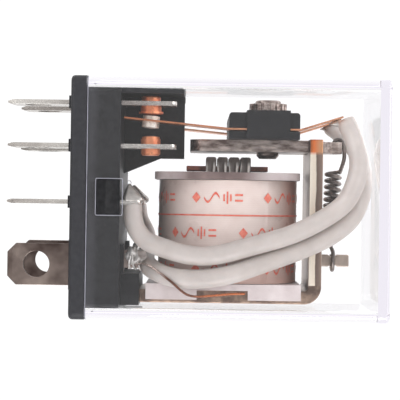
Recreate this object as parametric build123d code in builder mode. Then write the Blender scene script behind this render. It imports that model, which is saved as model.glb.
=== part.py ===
from build123d import *
import os
from math import atan, cos, sin, tan

# Plug-in relay, two changeover poles, in millimetres.
# Origin: centre of the base's underside (the seating plane). +Z runs up through the cover.
# The contacts are on the -X side, the coil is on the +X side, and one pole stands each side of Y = 0.

os.makedirs("parts", exist_ok=True)

# ---- Driving dimensions -------------------------------------------------------------------

pole_y = 6.5
poles = {"front": -pole_y, "back": pole_y}

# Base
flange_x, flange_y, flange_top = 27.3, 21.4, 1.75
flange_corner, flange_edge = 0.8, 0.45
block_x, block_y, block_top = 25.0, 19.3, 5.55
block_corner = 0.6
collar_drop, collar_margin = 0.3, 0.45
lug_width, lug_centre_x = 3.7, -0.1
lug_bottom, lug_shelf, lug_top, lug_reach = 3.05, 4.0, 5.3, 10.4
tower_top, tower_wall = 12.6, 0.7
tower_half_y = 8.9
barrier_half_y, barrier_inner_x, barrier_step_z, barrier_foot_x = 0.6, -4.7, 9.8, -2.9
post_x, post_half_y, post_top = (8.6, 12.2), 6.0, 7.7
boss_size, boss_top = (3.4, 2.0), 6.0

# Cover
cover_x, cover_y, cover_corner, cover_edge = 27.2, 21.5, 0.9, 0.45
cover_bottom, cover_top = 1.85, 35.9
cover_wall, cover_end_wall = 0.95, 1.35
window_x, window_z, window_centre_z, window_corner = 4.1, 3.0, 4.4, 0.3
gate_size, gate_depth = 2.0, 0.6

# Blades: tab size 4.75 x 0.5 with an eyelet
blade_width, blade_thick, blade_drop = 4.75, 0.5, 7.3
tip_taper, tip_bevel, tip_bevel_side = 1.0, 0.6, 0.14
eyelet_z, eyelet_r = -4.0, 1.5
shoulder_z = 3.0
nc_x, no_x, com_x, coil_x = -10.7, -5.85, 0.5, 7.65
fixed_tail_top, fixed_tail_width = 11.75, 3.8
com_tail_top, com_tail_width = 7.9, 3.2
coil_tail_top, coil_tail_width, coil_tail_x = 7.7, 2.0, 6.9

# Contacts
contact_z = 8.83
nc_face_x, nc_staked_x = -9.48, -11.62
no_face_x, no_staked_x = -7.10, -4.85
nc_button_r, no_button_r, fixed_rim_r, staked_r, shank_r = 1.18, 1.12, 1.4, 1.1, 0.7
rim_height, dome_height, staked_edge, contact_clearance = 0.35, 0.12, 0.2, 0.01

# Contact leaf
leaf_thick, leaf_width = 0.2, 3.2
leaf_root_x, leaf_root_z = -7.97, 17.8
leaf_tip_x, leaf_tip_z = -9.08, 5.85
leaf_rear_z = 25.8
leaf_tail_x, leaf_tail_z = -9.5, 30.55
moving_r, moving_upper, moving_lower = 0.975, 0.56, 0.77

# Armature and carrier
armature_top_x, armature_under_x = -6.88, -5.53
armature_front_z, armature_shoulder_z, armature_neck_z, armature_end_z = 13.3, 26.9, 28.9, 31.1
armature_half_y, neck_half_y, tail_half_y, tail_taper = 5.0, 2.5, 1.5, 1.0
armature_front_corner, armature_tail_corner = 2.0, 0.6
hook_hole_z, hook_hole_r = 30.2, 0.55
carrier_z, carrier_half_y, carrier_wing_x = (17.7, 25.7), 8.1, -9.85
carrier_hub_z, carrier_hub_half_y, carrier_hub_x = (19.7, 24.6), 8.5, -10.1
slot_x, slot_inner_y, slot_outer_y, carrier_corner = (-8.12, -7.72), 4.7, 8.12, 0.35
rivet_z, rivet_r, rivet_hole_r = 22.4, 0.9, 0.92
washer_r, washer_x, washer_teeth = 2.2, -11.3, 18
tooth_root, tooth_long, tooth_wide = 0.25, 0.5, 0.38
rivet_head_r, rivet_head_x, rivet_tail_r, rivet_tail_x = 1.5, -11.7, 1.3, -4.85
head_crown, head_crown_height = 0.2, 0.12

# Yoke
yoke_thick, yoke_half_y, yoke_inner_z = 1.5, 6.0, 27.0
yoke_outer_z = yoke_inner_z + yoke_thick
yoke_leg_x, yoke_horn_x, notch_floor_x, notch_half_y = 10.35, -7.0, -5.5, 2.75
yoke_bend_outer, yoke_bend_inner = 2.0, 0.5
tongue_half_y, tongue_bottom = 3.0, 4.3
tab_x, tab_half_y, tab_end_z = (6.3, 7.7), 0.7, 32.1
tab_notch_z, tab_notch_depth, tab_notch_half = 30.2, 0.36, 0.55

# Core, coil and bobbin
coil_z = 17.75
lamination_count, lamination_thick, lamination_pitch, lamination_half_y = 4, 1.2, 1.33, 2.5
pole_face_x, pole_head_x, core_end_x = -4.9, -3.12, 12.0
pole_head_front_y, pole_slot_y, pole_slot_floor_x = -3.4, (-1.6, -0.4), -3.3
lamination_edge = 0.25
core_slot_z, core_slot_y = 5.24, 5.04
ring_x, ring_y, ring_z = (-3.88, -3.32), (-1.55, 3.9), (12.9, 22.4)
ring_window_y, ring_window_z = (-0.45, 2.55), (15.05, 20.45)
upper_flange_x, upper_flange_z = (-3.1, -2.25), (9.3, 26.0)
lower_flange_x, lower_flange_z = (9.6, 10.33), (8.5, 26.1)
bobbin_half_y, bobbin_corner, tube_wall = 7.3, 3.0, 0.8
skirt_inner_y, skirt_end_x, skirt_spans = 6.1, 11.4, ((8.5, 14.3), (20.1, 26.1))
winding_half_z, winding_half_y = 7.8, 6.95
tape_half_z, tape_half_y, tape_thick = 8.05, 7.2, 0.2
winding_end_gap, tube_clearance = 0.05, 0.04

# Return spring
spring_wire, spring_mean_r, spring_turns = 0.4, 0.85, 11
spring_start, spring_end = Vector(-3.5, 0, 30.45), Vector(4.6, 0, 29.95)

# Flexible leads
sleeve_outer_r, sleeve_inner_r, braid_r = 1.08, 0.72, 0.62
solder_dome_r, solder_ball_r, leaf_solder_r = 1.0, 0.9, 0.55
solder_dome_z, solder_ball_z, leaf_solder_drop = com_tail_top - 0.7, coil_tail_top - 0.5, 0.7
enamel_wire_r = 0.14


def save(piece, name):
    """Label a finished piece and write it as its own STEP file."""
    piece.part.label = name
    export_step(piece.part, f"parts/{name}.step")


def slab(x_span, y_span, z_span, mode=Mode.ADD):
    """A box between two corners, in the part being built."""
    spans = (x_span, y_span, z_span)
    with Locations(tuple((low + high) / 2 for low, high in spans)):
        Box(*(high - low for low, high in spans), mode=mode)


def rivet_hole(y, z, radius, x_span):
    """A round hole along X through the part being built."""
    with Locations(Plane(origin=((x_span[0] + x_span[1]) / 2, y, z), z_dir=(1, 0, 0))):
        Cylinder(radius, x_span[1] - x_span[0], mode=Mode.SUBTRACT)


# ---- Terminals ----------------------------------------------------------------------------


def blade_outline(centre, tail_centre, tail_width, tail_top):
    """Points of a terminal's flat outline: tapered tip, wide blade, shoulder, narrower tail."""
    half = blade_width / 2
    tail_half = tail_width / 2
    return [
        (centre - half + tip_taper, -blade_drop),
        (centre + half - tip_taper, -blade_drop),
        (centre + half, -blade_drop + tip_taper),
        (centre + half, shoulder_z),
        (tail_centre + tail_half, shoulder_z),
        (tail_centre + tail_half, tail_top),
        (tail_centre - tail_half, tail_top),
        (tail_centre - tail_half, shoulder_z),
        (centre - half, shoulder_z),
        (centre - half, -blade_drop + tip_taper),
    ]


def bevelled_section(tail_top):
    """Points of a terminal's thickness section, thinned at the tip."""
    half = blade_thick / 2
    return [
        (tip_bevel_side - half, -blade_drop),
        (half - tip_bevel_side, -blade_drop),
        (half, -blade_drop + tip_bevel),
        (half, tail_top),
        (-half, tail_top),
        (-half, -blade_drop + tip_bevel),
    ]


def blade(flat_plane, edge_plane, centre, tail_centre, tail_width, tail_top):
    """A terminal: its flat outline cut to its thickness section."""
    with BuildPart() as terminal:
        with BuildSketch(flat_plane):
            with BuildLine():
                Polyline(*blade_outline(centre, tail_centre, tail_width, tail_top), close=True)
            make_face()
            with Locations((centre, eyelet_z)):
                Circle(eyelet_r, mode=Mode.SUBTRACT)
        extrude(amount=blade_thick, both=True)
        with BuildSketch(edge_plane):
            with BuildLine():
                Polyline(*bevelled_section(tail_top), close=True)
            make_face()
        extrude(amount=blade_width, both=True, mode=Mode.INTERSECT)
    return terminal


def contact_terminal(x, y, tail_width, tail_top, contact_hole):
    """Blade whose flat faces look along X, with a hole for its contact if it carries one."""
    flat_plane = Plane(origin=(x, y, 0), x_dir=(0, 1, 0), z_dir=(1, 0, 0))
    edge_plane = Plane(origin=(x, y, 0), x_dir=(1, 0, 0), z_dir=(0, -1, 0))
    terminal = blade(flat_plane, edge_plane, 0, 0, tail_width, tail_top)
    with terminal:
        fillet(terminal.edges().filter_by(Axis.X).group_by(Axis.Z)[-1], tail_width / 6)
        if contact_hole:
            rivet_hole(y, contact_z, shank_r + contact_clearance, (x - blade_thick, x + blade_thick))
    return terminal


def coil_terminal(y):
    """Blade whose flat faces look along Y, with a short tail for the coil lead."""
    flat_plane = Plane(origin=(coil_x, y, 0), x_dir=(1, 0, 0), z_dir=(0, -1, 0))
    edge_plane = Plane(origin=(coil_x, y, 0), x_dir=(0, 1, 0), z_dir=(1, 0, 0))
    return blade(flat_plane, edge_plane, 0, coil_tail_x - coil_x, coil_tail_width, coil_tail_top)


terminals = {}
for side, y in poles.items():
    terminals[f"nc_terminal_{side}"] = contact_terminal(nc_x, y, fixed_tail_width, fixed_tail_top, True)
    terminals[f"no_terminal_{side}"] = contact_terminal(no_x, y, fixed_tail_width, fixed_tail_top, True)
    terminals[f"com_terminal_{side}"] = contact_terminal(com_x, y, com_tail_width, com_tail_top, False)
    terminals[f"coil_terminal_{side}"] = coil_terminal(y)
for name, terminal in terminals.items():
    save(terminal, name)

# ---- Base ---------------------------------------------------------------------------------

collar_size = (blade_thick + 2 * collar_margin, blade_width + 2 * collar_margin)

with BuildPart() as base:
    with BuildSketch(Plane.XY):
        RectangleRounded(flange_x, flange_y, flange_corner)
    extrude(amount=flange_top)
    fillet(base.edges().group_by(Axis.Z)[0], flange_edge)
    with BuildSketch(Plane.XY.offset(flange_top)):
        RectangleRounded(block_x, block_y, block_corner)
    extrude(amount=block_top - flange_top)
    # Collars round the blades, under the seat.
    with BuildSketch(Plane.XY.offset(-collar_drop)):
        with Locations([(x, y) for x in (nc_x, no_x, com_x) for y in poles.values()]):
            Rectangle(*collar_size)
        with Locations([(coil_x, y) for y in poles.values()]):
            Rectangle(collar_size[1], collar_size[0])
    extrude(amount=collar_drop)
    # Snap lugs on both broad sides, sloped so that the cover rides over them.
    with BuildSketch(Plane.YZ.offset(lug_centre_x - lug_width / 2)):
        with BuildLine():
            Polyline(
                (0, lug_bottom),
                (lug_reach, lug_bottom),
                (lug_reach, lug_shelf),
                (block_y / 2, lug_top),
                (0, lug_top),
                close=True,
            )
        make_face()
        mirror(about=Plane.YZ)
    extrude(amount=lug_width)
    # Contact tower: an outer wall and a barrier between the poles.
    tower_x = (-block_x / 2, tower_wall - block_x / 2)
    slab(tower_x, (-tower_half_y, tower_half_y), (block_top, tower_top))
    with BuildSketch(Plane.XZ):
        with BuildLine():
            Polyline(
                (-block_x / 2, block_top),
                (-block_x / 2, tower_top),
                (barrier_inner_x, tower_top),
                (barrier_inner_x, barrier_step_z),
                (barrier_foot_x, block_top),
                close=True,
            )
        make_face()
    extrude(amount=barrier_half_y, both=True)
    # Post that grips the yoke's tongue, and bosses round the coil tails.
    slab(post_x, (-post_half_y, post_half_y), (block_top, post_top))
    slab(
        (yoke_leg_x, yoke_leg_x + yoke_thick),
        (-tongue_half_y, tongue_half_y),
        (tongue_bottom, post_top),
        mode=Mode.SUBTRACT,
    )
    with BuildSketch(Plane.XY.offset(block_top)):
        with Locations([(coil_tail_x, y) for y in poles.values()]):
            Rectangle(*boss_size)
    extrude(amount=boss_top - block_top)
    for terminal in terminals.values():
        add(terminal.part, mode=Mode.SUBTRACT)
        slab(
            (terminal.part.bounding_box().min.X, terminal.part.bounding_box().max.X),
            (terminal.part.bounding_box().min.Y, terminal.part.bounding_box().max.Y),
            (-collar_drop, shoulder_z),
            mode=Mode.SUBTRACT,
        )
save(base, "base")

# ---- Cover --------------------------------------------------------------------------------

inner_x = cover_x - 2 * cover_wall
inner_y = cover_y - 2 * cover_wall

with BuildPart() as cover:
    with BuildSketch(Plane.XY.offset(cover_bottom)):
        RectangleRounded(cover_x, cover_y, cover_corner)
    extrude(amount=cover_top - cover_bottom)
    fillet(cover.edges().group_by(Axis.Z)[-1], cover_edge)
    with BuildSketch(Plane.XY.offset(cover_bottom)):
        RectangleRounded(inner_x, inner_y, cover_corner - cover_wall / 2)
    extrude(amount=cover_top - cover_end_wall - cover_bottom, mode=Mode.SUBTRACT)
    with BuildSketch(Plane.XZ):
        with Locations((lug_centre_x, window_centre_z)):
            RectangleRounded(window_x, window_z, window_corner)
    extrude(amount=cover_y, both=True, mode=Mode.SUBTRACT)
    with BuildSketch(Plane.XY.offset(cover_top - cover_end_wall)):
        Rectangle(gate_size, gate_size)
    extrude(amount=gate_depth, mode=Mode.SUBTRACT)
save(cover, "cover")

# ---- Contacts -----------------------------------------------------------------------------


def turned(origin, axis, profile):
    """A turned piece: profile is a list of (radius, distance along axis), closed on the axis."""
    with BuildPart() as piece:
        across = Vector(0, 1, 0)
        with BuildSketch(Plane(origin=origin, x_dir=across, z_dir=across.cross(Vector(*axis)))):
            with BuildLine():
                Polyline(*profile, close=True)
            make_face()
        revolve(axis=Axis(origin, axis))
    return piece


def fixed_contact(x, y, face_x, staked_x, button_r, rim_r):
    """Rivet contact through a fixed terminal's tail: button with a rim one side, staked end the other."""
    plate = blade_thick / 2
    towards = 1 if face_x > x else -1
    reach = abs(face_x - x)
    staked = abs(staked_x - x)
    profile = [
        (0, -staked),
        (staked_r - staked_edge, -staked),
        (staked_r, -staked + staked_edge),
        (staked_r, -plate),
        (shank_r, -plate),
        (shank_r, plate),
        (button_r, plate),
        (button_r, reach - rim_height),
        (rim_r, reach - rim_height),
        (rim_r, reach - dome_height),
        (rim_r / 2, reach - dome_height / 4),
        (0, reach),
    ]
    return turned((x, y, contact_z), (towards, 0, 0), profile)


leaf_slope = atan((leaf_root_x - leaf_tip_x) / (leaf_root_z - leaf_tip_z))
moving_x = leaf_root_x - (leaf_root_z - contact_z) * tan(leaf_slope)
leaf_normal = (-cos(leaf_slope), 0, sin(leaf_slope))

for side, y in poles.items():
    nc_contact = fixed_contact(nc_x, y, nc_face_x, nc_staked_x, nc_button_r, fixed_rim_r)
    no_contact = fixed_contact(no_x, y, no_face_x, no_staked_x, no_button_r, no_button_r - dome_height)
    save(nc_contact, f"nc_contact_{side}")
    save(no_contact, f"no_contact_{side}")
    half = leaf_thick / 2
    moving_profile = [
        (0, -half - moving_lower),
        (moving_r * 0.5, -half - moving_lower + dome_height / 4),
        (moving_r, -half - moving_lower + dome_height),
        (moving_r, -half),
        (shank_r, -half),
        (shank_r, half),
        (moving_r, half),
        (moving_r, half + moving_upper - dome_height),
        (moving_r * 0.5, half + moving_upper - dome_height / 4),
        (0, half + moving_upper),
    ]
    save(turned((moving_x, y, contact_z), leaf_normal, moving_profile), f"moving_contact_{side}")

for side, y in poles.items():
    with BuildPart() as leaf:
        with BuildSketch(Plane(origin=(0, y, 0), x_dir=(1, 0, 0), z_dir=(0, -1, 0))):
            with BuildLine():
                leaf_line = Polyline(
                    (leaf_tip_x, leaf_tip_z),
                    (leaf_root_x, leaf_root_z),
                    (leaf_root_x, leaf_rear_z),
                    (leaf_tail_x, leaf_tail_z),
                )
            trace(line_width=leaf_thick)
        extrude(amount=leaf_width / 2, both=True)
        with BuildSketch(Plane(origin=(moving_x, y, contact_z), z_dir=leaf_normal)):
            Circle(shank_r + contact_clearance)
        extrude(amount=shank_r, both=True, mode=Mode.SUBTRACT)
    save(leaf, f"contact_leaf_{side}")

# ---- Armature, carrier and its rivet --------------------------------------------------------

with BuildPart() as armature:
    with BuildSketch(Plane.YZ.offset(armature_top_x)):
        with BuildLine():
            Polyline(
                (-armature_half_y, armature_front_z),
                (armature_half_y, armature_front_z),
                (armature_half_y, armature_shoulder_z),
                (neck_half_y, armature_shoulder_z),
                (neck_half_y, armature_neck_z),
                (tail_half_y, armature_neck_z + tail_taper),
                (tail_half_y, armature_end_z),
                (-tail_half_y, armature_end_z),
                (-tail_half_y, armature_neck_z + tail_taper),
                (-neck_half_y, armature_neck_z),
                (-neck_half_y, armature_shoulder_z),
                (-armature_half_y, armature_shoulder_z),
                close=True,
            )
        make_face()
        with Locations((0, hook_hole_z)):
            Circle(hook_hole_r, mode=Mode.SUBTRACT)
        with Locations((0, rivet_z)):
            Circle(rivet_hole_r, mode=Mode.SUBTRACT)
    extrude(amount=armature_under_x - armature_top_x)
    fillet(armature.edges().filter_by(Axis.X).group_by(Axis.Z)[0], armature_front_corner)
    fillet(armature.edges().filter_by(Axis.X).group_by(Axis.Z)[-1], armature_tail_corner)
save(armature, "armature")

with BuildPart() as carrier:
    slab((carrier_wing_x, armature_top_x), (-carrier_half_y, carrier_half_y), carrier_z)
    fillet(carrier.edges().filter_by(Axis.Y).group_by(Axis.X)[0], carrier_corner)
    slab((carrier_hub_x, armature_top_x), (-carrier_hub_half_y, carrier_hub_half_y), carrier_hub_z)
    slab(slot_x, (slot_inner_y, slot_outer_y), carrier_z, mode=Mode.SUBTRACT)
    slab(slot_x, (-slot_outer_y, -slot_inner_y), carrier_z, mode=Mode.SUBTRACT)
    rivet_hole(0, rivet_z, rivet_hole_r, (carrier_hub_x - 1, armature_top_x + 1))
save(carrier, "contact_carrier")

with BuildPart() as washer:
    with BuildSketch(Plane(origin=(washer_x, 0, rivet_z), z_dir=(1, 0, 0))):
        Circle(washer_r - tooth_root)
        with PolarLocations(washer_r - tooth_root, washer_teeth):
            Rectangle(tooth_long, tooth_wide)
        Circle(rivet_hole_r, mode=Mode.SUBTRACT)
    extrude(amount=carrier_hub_x - washer_x)
save(washer, "lock_washer")

tail_reach = rivet_tail_x - armature_under_x
washer_reach = washer_x - armature_under_x
head_reach = rivet_head_x - armature_under_x
rivet_profile = [
    (0, tail_reach),
    (rivet_tail_r * 3 / 4, tail_reach),
    (rivet_tail_r, tail_reach / 2),
    (rivet_tail_r, 0),
    (rivet_r, 0),
    (rivet_r, washer_reach),
    (rivet_head_r, washer_reach),
    (rivet_head_r, head_reach + head_crown_height),
    (rivet_head_r - head_crown, head_reach),
    (0, head_reach),
]
save(turned((armature_under_x, 0, rivet_z), (1, 0, 0), rivet_profile), "armature_rivet")

# ---- Yoke ---------------------------------------------------------------------------------

leg_outer_x = yoke_leg_x + yoke_thick

with BuildPart() as yoke:
    with BuildSketch(Plane.XZ):
        with BuildLine():
            Polyline(
                (yoke_horn_x, yoke_inner_z),
                (yoke_horn_x, yoke_outer_z),
                (leg_outer_x, yoke_outer_z),
                (leg_outer_x, post_top),
                (yoke_leg_x, post_top),
                (yoke_leg_x, yoke_inner_z),
                close=True,
            )
        make_face()
    extrude(amount=yoke_half_y, both=True)
    bend_edges = yoke.edges().filter_by(Axis.Y)
    fillet(bend_edges.sort_by_distance((leg_outer_x, 0, yoke_outer_z))[0], yoke_bend_outer)
    bend_edges = yoke.edges().filter_by(Axis.Y)
    fillet(bend_edges.sort_by_distance((yoke_leg_x, 0, yoke_inner_z))[0], yoke_bend_inner)
    slab(
        (yoke_horn_x, notch_floor_x),
        (-notch_half_y, notch_half_y),
        (yoke_inner_z, yoke_outer_z),
        mode=Mode.SUBTRACT,
    )
    slab((yoke_leg_x, leg_outer_x), (-tongue_half_y, tongue_half_y), (tongue_bottom, post_top))
    slab(
        (yoke_leg_x, leg_outer_x),
        (-core_slot_y / 2, core_slot_y / 2),
        (coil_z - core_slot_z / 2, coil_z + core_slot_z / 2),
        mode=Mode.SUBTRACT,
    )
    slab(tab_x, (-tab_half_y, tab_half_y), (yoke_outer_z, tab_end_z))
    # A notch each side of the tab holds the spring's lower hook.
    for edge_x, inward in ((tab_x[0], 1), (tab_x[1], -1)):
        with BuildSketch(Plane.XZ):
            with BuildLine():
                Polyline(
                    (edge_x, tab_notch_z - tab_notch_half),
                    (edge_x + inward * tab_notch_depth, tab_notch_z),
                    (edge_x, tab_notch_z + tab_notch_half),
                    close=True,
                )
            make_face()
        extrude(amount=tab_half_y, both=True, mode=Mode.SUBTRACT)
save(yoke, "yoke")

# ---- Core, shading ring, bobbin, winding and tape -------------------------------------------

stack_half = lamination_pitch * (lamination_count - 1) / 2
with BuildPart() as core:
    for place in range(lamination_count):
        middle = coil_z - stack_half + place * lamination_pitch
        sheet_z = (middle - lamination_thick / 2, middle + lamination_thick / 2)
        slab((pole_head_x, core_end_x), (-lamination_half_y, lamination_half_y), sheet_z)
        slab((pole_face_x, pole_head_x), (pole_head_front_y, lamination_half_y), sheet_z)
    fillet(core.edges().filter_by(Axis.Y).group_by(Axis.X)[0], lamination_edge)
    slab((pole_face_x, pole_slot_floor_x), pole_slot_y, ring_z, mode=Mode.SUBTRACT)
save(core, "core_laminations")


def core_slot(x_span):
    """Cut the core's rectangular passage through the part being built."""
    slab(
        x_span,
        (-core_slot_y / 2, core_slot_y / 2),
        (coil_z - core_slot_z / 2, coil_z + core_slot_z / 2),
        mode=Mode.SUBTRACT,
    )


with BuildPart() as shading_ring:
    slab(ring_x, ring_y, ring_z)
    slab(ring_x, ring_window_y, ring_window_z, mode=Mode.SUBTRACT)
save(shading_ring, "shading_ring")


def across_x(x):
    """Plane square to X whose local axes are +Y and +Z, centred on the coil's axis."""
    return Plane(origin=(x, 0, coil_z), x_dir=(0, 1, 0), z_dir=(1, 0, 0))


tube_size = (core_slot_y + 2 * tube_wall, core_slot_z + 2 * tube_wall)

with BuildPart() as bobbin:
    for x_span, z_span in ((upper_flange_x, upper_flange_z), (lower_flange_x, lower_flange_z)):
        with BuildSketch(across_x(x_span[0])):
            with Locations((0, (z_span[0] + z_span[1]) / 2 - coil_z)):
                RectangleRounded(2 * bobbin_half_y, z_span[1] - z_span[0], bobbin_corner)
        extrude(amount=x_span[1] - x_span[0])
    with BuildSketch(across_x(upper_flange_x[1])):
        Rectangle(*tube_size)
    extrude(amount=lower_flange_x[0] - upper_flange_x[1])
    for z_span in skirt_spans:
        for y_span in ((-bobbin_half_y, -skirt_inner_y), (skirt_inner_y, bobbin_half_y)):
            slab((lower_flange_x[0], skirt_end_x), y_span, z_span)
    core_slot((upper_flange_x[0], lower_flange_x[1]))
save(bobbin, "bobbin")

coil_span = (upper_flange_x[1] + winding_end_gap, lower_flange_x[0] - winding_end_gap)

with BuildPart() as winding:
    with BuildSketch(across_x(coil_span[0])):
        Ellipse(winding_half_y, winding_half_z)
        Rectangle(tube_size[0] + tube_clearance, tube_size[1] + tube_clearance, mode=Mode.SUBTRACT)
    extrude(amount=coil_span[1] - coil_span[0])
save(winding, "winding")

with BuildPart() as tape:
    with BuildSketch(across_x(coil_span[0])):
        Ellipse(tape_half_y, tape_half_z)
        Ellipse(tape_half_y - tape_thick, tape_half_z - tape_thick, mode=Mode.SUBTRACT)
    extrude(amount=coil_span[1] - coil_span[0])
save(tape, "coil_tape")

# ---- Return spring --------------------------------------------------------------------------

spring_run = spring_end - spring_start


def wire_along(route, radius, mode=Mode.ADD):
    """Sweep a round section along a route, in the part being built."""
    with BuildSketch(Plane(origin=route @ 0, z_dir=route % 0), mode=Mode.PRIVATE) as section:
        Circle(radius)
    sweep(section.sketch, path=route, transition=Transition.ROUND, mode=mode)


# The close coils alone, between the hook in the armature's tail and the hook round the yoke's tab.
with BuildPart() as spring:
    with BuildLine(mode=Mode.PRIVATE):
        coils = Helix(
            pitch=spring_run.length / spring_turns,
            height=spring_run.length,
            radius=spring_mean_r,
            center=spring_start,
            direction=spring_run,
        )
    with BuildSketch(Plane(origin=coils @ 0, z_dir=coils % 0)):
        Circle(spring_wire / 2)
    sweep(path=coils, is_frenet=True)
save(spring, "return_spring")

# ---- Flexible leads -------------------------------------------------------------------------

# Each lead runs from its leaf's tail, over the end of the yoke, down in front of the coil and
# back to its common terminal. Both lie on the front side, the back pole's outside the front's.
lead_start_x, lead_start_z = leaf_tail_x + 0.35, leaf_tail_z + 0.4
lead_end_x, lead_end_z = com_x + blade_thick / 2 + 0.15, com_tail_top - 1.0
front_route = [
    (lead_start_x, -pole_y, lead_start_z),
    (-6.9, -7.0, 31.9),
    (-4.0, -7.8, 32.4),
    (-0.9, -8.4, 31.5),
    (1.2, -8.55, 29.7),
    (3.6, -8.6, 25.4),
    (5.3, -8.6, 20.1),
    (6.3, -8.6, 16.2),
    (6.3, -8.6, 13.4),
    (5.55, -8.5, 10.5),
    (4.6, -8.25, 8.5),
    (2.7, -7.6, 7.1),
    (lead_end_x, -7.25, lead_end_z),
]
back_route = [
    (lead_start_x, pole_y, lead_start_z),
    (-7.6, 4.6, 32.3),
    (-5.6, 0.2, 33.1),
    (-3.2, -3.6, 33.25),
    (-0.7, -6.1, 32.9),
    (1.9, -7.1, 31.7),
    (3.75, -7.3, 29.6),
    (5.0, -7.3, 27.3),
    (6.1, -7.4, 24.7),
    (7.35, -7.95, 21.3),
    (8.35, -8.4, 18.4),
    (8.9, -8.5, 15.6),
    (9.0, -8.6, 13.4),
    (8.8, -8.4, 11.4),
    (8.3, -7.4, 9.8),
    (7.75, -5.2, 8.8),
    (7.1, -1.8, 8.25),
    (6.0, 2.0, 8.2),
    (4.3, 5.0, 8.1),
    (2.5, 6.4, 7.2),
    (lead_end_x, 6.8, lead_end_z),
]
sleeve_bare_ends = {"front": (0.012, 0.996), "back": (0.010, 0.997)}

for side, route_points in {"front": front_route, "back": back_route}.items():
    with BuildPart() as braid:
        with BuildLine(mode=Mode.PRIVATE) as route:
            Spline(*route_points)
        wire_along(route.edge(), braid_r)
    save(braid, f"lead_braid_{side}")
    with BuildPart() as sleeve:
        sleeved = route.edge().trim(*sleeve_bare_ends[side])
        wire_along(sleeved, sleeve_outer_r)
        wire_along(sleeved, sleeve_inner_r, mode=Mode.SUBTRACT)
    save(sleeve, f"lead_sleeve_{side}")

# ---- Solder joints and coil leads -----------------------------------------------------------

com_face_x = com_x - blade_thick / 2
with BuildPart() as com_solder:
    with Locations([Plane(origin=(com_face_x, y, solder_dome_z), z_dir=(-1, 0, 0)) for y in poles.values()]):
        Sphere(solder_dome_r, arc_size1=0, align=(Align.CENTER, Align.CENTER, Align.MIN))
save(com_solder, "com_solder")

with BuildPart() as coil_solder:
    with Locations([(coil_tail_x, y, solder_ball_z) for y in poles.values()]):
        Sphere(solder_ball_r)
    for side in poles:
        add(terminals[f"coil_terminal_{side}"].part, mode=Mode.SUBTRACT)
save(coil_solder, "coil_solder")

tail_slope = atan((leaf_root_x - leaf_tail_x) / (leaf_tail_z - leaf_rear_z))
for side, y in poles.items():
    joint_z = leaf_tail_z - leaf_solder_drop
    joint_x = leaf_tail_x + leaf_solder_drop * tan(tail_slope) - leaf_thick / 2 / cos(tail_slope)
    tail_plane = Plane(origin=(joint_x, y, joint_z), z_dir=(-cos(tail_slope), 0, -sin(tail_slope)))
    with BuildPart() as leaf_solder:
        with Locations(tail_plane):
            Sphere(leaf_solder_r, arc_size1=0, align=(Align.CENTER, Align.CENTER, Align.MIN))
    save(leaf_solder, f"leaf_solder_{side}")

for side, y in poles.items():
    outward = 1 if y > 0 else -1
    lead_points = [
        (coil_tail_x + 0.6, y + outward * 0.85, 7.6),
        (7.6, outward * 8.7, 9.0),
        (8.5, outward * 9.4, 10.4),
        (9.5, outward * 9.6, 11.7),
        (10.7, outward * 9.1, 13.2),
        (10.95, outward * 7.9, 15.2),
        (10.8, outward * 6.9, 17.4),
        (10.7, outward * 6.4, 19.8),
    ]
    with BuildPart() as coil_lead:
        with BuildLine(mode=Mode.PRIVATE) as route:
            Spline(*lead_points)
        wire_along(route.edge(), enamel_wire_r)
    save(coil_lead, f"coil_lead_{side}")
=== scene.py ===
"""Looks of a plug-in relay with a clear cover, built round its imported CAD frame.

The frame's +Z runs up through the cover, -X is the contact side, and the poles stand each side
of Y = 0, with the front one at -Y.
"""

import math

import bmesh
import bpy
from mathutils import Matrix, Vector, noise

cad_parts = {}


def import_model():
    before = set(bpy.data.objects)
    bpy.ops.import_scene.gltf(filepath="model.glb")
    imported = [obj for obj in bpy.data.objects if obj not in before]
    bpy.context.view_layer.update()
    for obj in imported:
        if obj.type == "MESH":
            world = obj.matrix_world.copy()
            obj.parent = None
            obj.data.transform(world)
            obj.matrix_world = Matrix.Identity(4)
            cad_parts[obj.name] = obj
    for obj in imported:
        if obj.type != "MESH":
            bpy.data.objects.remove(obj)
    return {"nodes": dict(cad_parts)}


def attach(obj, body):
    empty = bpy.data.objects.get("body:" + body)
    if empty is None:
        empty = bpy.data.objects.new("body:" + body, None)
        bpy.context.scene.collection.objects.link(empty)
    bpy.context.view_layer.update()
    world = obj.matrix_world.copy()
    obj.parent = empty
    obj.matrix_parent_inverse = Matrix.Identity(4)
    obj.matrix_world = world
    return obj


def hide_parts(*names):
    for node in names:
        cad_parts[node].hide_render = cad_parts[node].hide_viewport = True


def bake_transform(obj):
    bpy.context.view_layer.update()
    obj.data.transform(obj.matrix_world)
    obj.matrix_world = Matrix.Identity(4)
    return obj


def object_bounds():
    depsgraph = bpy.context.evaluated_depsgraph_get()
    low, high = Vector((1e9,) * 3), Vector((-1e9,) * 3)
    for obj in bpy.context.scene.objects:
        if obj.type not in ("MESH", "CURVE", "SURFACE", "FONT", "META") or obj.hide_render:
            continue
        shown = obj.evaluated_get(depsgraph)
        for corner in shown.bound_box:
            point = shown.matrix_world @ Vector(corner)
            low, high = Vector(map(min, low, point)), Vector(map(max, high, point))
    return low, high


MM = 0.001
SIDES = {"front": -1, "back": 1}  # the sign of Y on each side

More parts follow.
